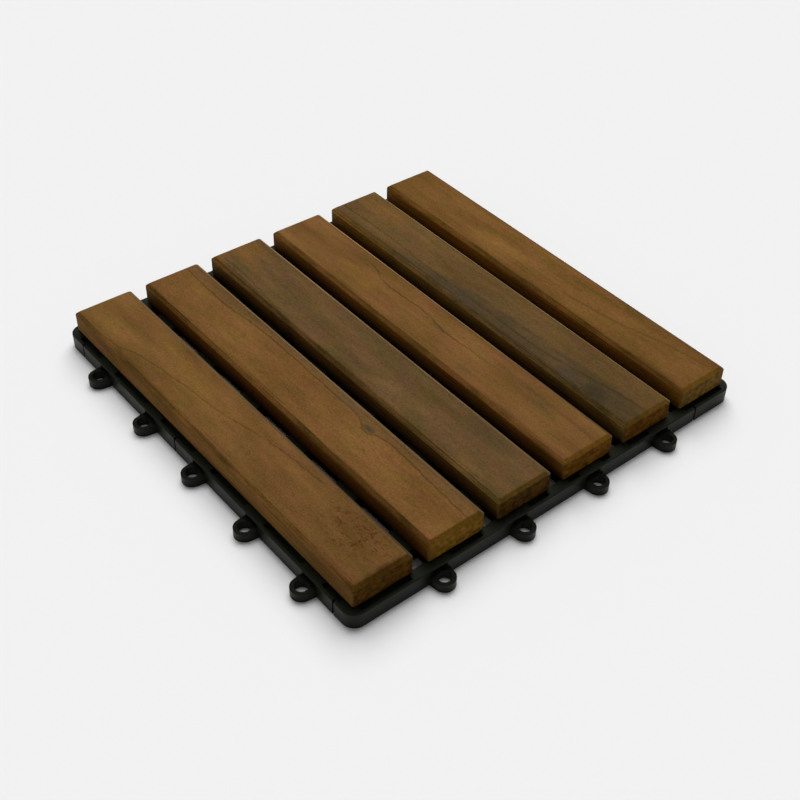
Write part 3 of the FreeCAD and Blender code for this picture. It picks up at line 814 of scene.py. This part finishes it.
def moulded_polypropylene():
    """Black polypropylene from a spark-eroded mould: matte, with a fine even grain, a faint shine on its
    rounded edges, and a little pale dust on top of the rim at the right. The loops are painted darker than
    the rim, as painted shade."""
    material = blank_material("Moulded polypropylene")
    tree = material.node_tree
    place = in_millimetres(tree)
    grit = pattern(tree, place, GRIT, seed=1.0, detail=2.0)
    cloud = pattern(tree, place, PLASTIC_CLOUD, seed=2.0, detail=3.0)
    tone = add(tree, "Mix", {FACTOR: cloud, COLOUR_A: linear("#0b0e07"), COLOUR_B: linear("#13170d")},
               data_type="RGBA").outputs[MIXED]
    sideways, ahead, height = add(tree, "SeparateXYZ", (place,)).outputs
    to_rim = add(tree, "Math", (sideways, ahead), operation="MINIMUM")
    # Painted shade: the loops are darker than the rim.
    loop_painted_shade = add(tree, "MapRange", (to_rim, *LOOP_PAINTED_SHADE))
    tone = add(tree, "VectorMath", {0: tone, "Scale": loop_painted_shade}, operation="SCALE")
    dust = rim_dust(tree, sideways, height, cloud)
    tone = add(tree, "Mix", {FACTOR: dust, COLOUR_A: tone, COLOUR_B: DUST}, data_type="RGBA").outputs[MIXED]
    rounded = add(tree, "Bevel", {"Radius": PLASTIC_EDGE}, samples=4)
    bump = add(tree, "Bump", {"Strength": 0.6, "Distance": GRIT_DEPTH, "Height": grit, "Normal": rounded})
    roughness = add(tree, "MapRange", (cloud, *PLASTIC_ROUGHNESS))
    surface = add(tree, "BsdfPrincipled", {"Base Color": tone, "Roughness": roughness, "Normal": bump,
                                           "IOR": 1.29, "Specular Tint": linear("#faffe7")})
    add(tree, "OutputMaterial", {"Surface": surface})
    return material


def stainless_steel():
    """Stainless steel screws, cold-headed and tumbled: a neutral grey metal with a soft, cloudy shine."""
    material = blank_material("Stainless steel")
    tree = material.node_tree
    cloud = pattern(tree, in_millimetres(tree), STEEL_CLOUD, seed=3.0, detail=3.0)
    tone = add(tree, "Mix", {FACTOR: cloud, COLOUR_A: linear("#9a9da0"), COLOUR_B: linear("#c4c6c6")},
               data_type="RGBA").outputs[MIXED]
    roughness = add(tree, "MapRange", (cloud, *STEEL_ROUGHNESS))
    surface = add(tree, "BsdfPrincipled", {"Base Color": tone, "Metallic": 1.0, "Roughness": roughness})
    add(tree, "OutputMaterial", {"Surface": surface})
    return material


for node, material in (("deck_base", moulded_polypropylene()), ("slat_screws", stainless_steel())):
    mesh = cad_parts[node].data
    mesh.materials.clear()
    mesh.materials.append(material)


# Studio

# The paper as the camera sees it, as it lights the tile, and as it lights the tile from below, where it is
# painted dark as painted shade.
PALE = linear("#f1f1f1")
PAPER = linear("#d8d8d8")
PAPER_SHADE = linear("#2c2a28")
# Metres from the middle over which the paper's painted shade under the tile ends, and half the floor's side.
UNDER_TILE = (0.146, 0.149, 1.0, 0.0)
FLOOR_HALF = 4.0

# The room's light from the horizon to overhead, and its factor from the left wall to the right one.
ROOM_RISE = (0.0, 1.0, 0.10, 0.25)
ROOM_SIDES = (-1.0, 1.0, 1.3, 0.8)

# Two soft lamps in one place: each one's name, energy, and whether its glare is seen.
LAMPS = (("key", 2.60, False), ("glint", 0.42, True))
LAMP_SIZE = math.radians(55)
TO_LAMPS = Vector((0.36, 0.43, 0.83))

# The camera's place, its turn about its own axis, and its lens in picture widths of 800.
AZIMUTH = math.radians(-43.19)
ELEVATION = math.radians(41.39)
ROLL = math.radians(3.65)
DISTANCE = 777.78 * MM
TARGET = Vector((5.77, -56.89, 11.08)) * MM
FOCAL_SHARE = 1270.32 / 800
CENTRE_SHIFT = -63.38 / 800
SENSOR_WIDTH = 36.0


def studio_paper():
    """Matte white background paper. It looks pale to the eye, gives back less light to the tile's sides, and
    next to none from under the tile, where a painted shade darkens it for all rays but the eye's."""
    material = blank_material("Studio paper")
    tree = material.node_tree
    path = add(tree, "LightPath").outputs
    seen = add(tree, "Math", (path["Is Camera Ray"], path["Is Glossy Ray"]), operation="MAXIMUM")
    tone = add(tree, "Mix", {FACTOR: seen, COLOUR_A: PAPER, COLOUR_B: PALE}, data_type="RGBA").outputs[MIXED]
    place = add(tree, "TexCoord").outputs["Object"]
    from_middle = add(tree, "VectorMath", (place,), operation="ABSOLUTE")
    sideways, ahead, _ = add(tree, "SeparateXYZ", (from_middle,)).outputs
    furthest = add(tree, "Math", (sideways, ahead), operation="MAXIMUM")
    # Painted shade on the paper under the tile, for all rays but the eye's.
    under = add(tree, "MapRange", (furthest, *UNDER_TILE))
    unseen = add(tree, "Math", (1.0, path["Is Camera Ray"]), operation="SUBTRACT")
    shaded = add(tree, "Math", (under, unseen), operation="MULTIPLY")
    tone = add(tree, "Mix", {FACTOR: shaded, COLOUR_A: tone, COLOUR_B: PAPER_SHADE},
               data_type="RGBA").outputs[MIXED]
    surface = add(tree, "BsdfDiffuse", {"Color": tone})
    add(tree, "OutputMaterial", {"Surface": surface})
    return material


def lay_floor():
    """One wide sheet of paper."""
    paper = bpy.data.meshes.new("floor")
    corners = [(x * FLOOR_HALF, y * FLOOR_HALF, 0) for x, y in ((-1, -1), (1, -1), (1, 1), (-1, 1))]
    paper.from_pydata(corners, [], [(0, 1, 2, 3)])
    paper.materials.append(studio_paper())
    floor = bpy.data.objects.new("floor", paper)
    bpy.context.scene.collection.objects.link(floor)


def light_room():
    """A room that is bright overhead, dimmer at its walls, and dimmest on the right. The eye sees the pale
    background."""
    world = bpy.data.worlds.new("Studio")
    bpy.context.scene.world = world
    world.use_nodes = True
    tree = world.node_tree
    tree.nodes.clear()
    direction = add(tree, "TexCoord").outputs["Generated"]
    sideways, _, height = add(tree, "SeparateXYZ", (direction,)).outputs
    overhead = add(tree, "MapRange", (height, *ROOM_RISE))
    from_left = add(tree, "MapRange", (sideways, *ROOM_SIDES))
    room = add(tree, "Math", (overhead, from_left), operation="MULTIPLY")
    room_light = add(tree, "Background", {"Color": (1.0, 1.0, 1.0, 1.0), "Strength": room})
    backdrop = add(tree, "Background", {"Color": PALE, "Strength": 1.0})
    seen = add(tree, "LightPath").outputs["Is Camera Ray"]
    shown = add(tree, "MixShader", (seen, room_light, backdrop))
    add(tree, "OutputWorld", {"Surface": shown})


def hang_lamps():
    """Two soft lamps high behind the far corner. The strong one is polarised, so that its glare stays off the
    oiled wood, and the weak one gives the plastic's rounded edges their faint shine."""
    for name, energy, glare in LAMPS:
        light = bpy.data.lights.new(name, "SUN")
        light.energy = energy
        light.angle = LAMP_SIZE
        lamp = bpy.data.objects.new(name, light)
        bpy.context.scene.collection.objects.link(lamp)
        lamp.rotation_euler = TO_LAMPS.to_track_quat("Z", "Y").to_euler()
        lamp.visible_glossy = glare


def place_camera():
    """The camera at the photograph's viewing angle."""
    backward = Vector((math.sin(AZIMUTH) * math.cos(ELEVATION), -math.cos(AZIMUTH) * math.cos(ELEVATION),
                       math.sin(ELEVATION)))
    level = Vector((math.cos(AZIMUTH), math.sin(AZIMUTH), 0.0))
    upward = backward.cross(level)
    right = level * math.cos(ROLL) + upward * math.sin(ROLL)
    top = upward * math.cos(ROLL) - level * math.sin(ROLL)
    lens = bpy.data.cameras.new("camera")
    lens.sensor_width = SENSOR_WIDTH
    lens.lens = FOCAL_SHARE * lens.sensor_width
    lens.shift_x = CENTRE_SHIFT
    camera = bpy.data.objects.new("camera", lens)
    bpy.context.scene.collection.objects.link(camera)
    turn = Matrix((right, top, backward)).transposed().to_4x4()
    camera.matrix_world = Matrix.Translation(TARGET + backward * DISTANCE) @ turn
    bpy.context.scene.camera = camera


lay_floor()
light_room()
hang_lamps()
place_camera()
bpy.context.scene.view_settings.view_transform = "Standard"
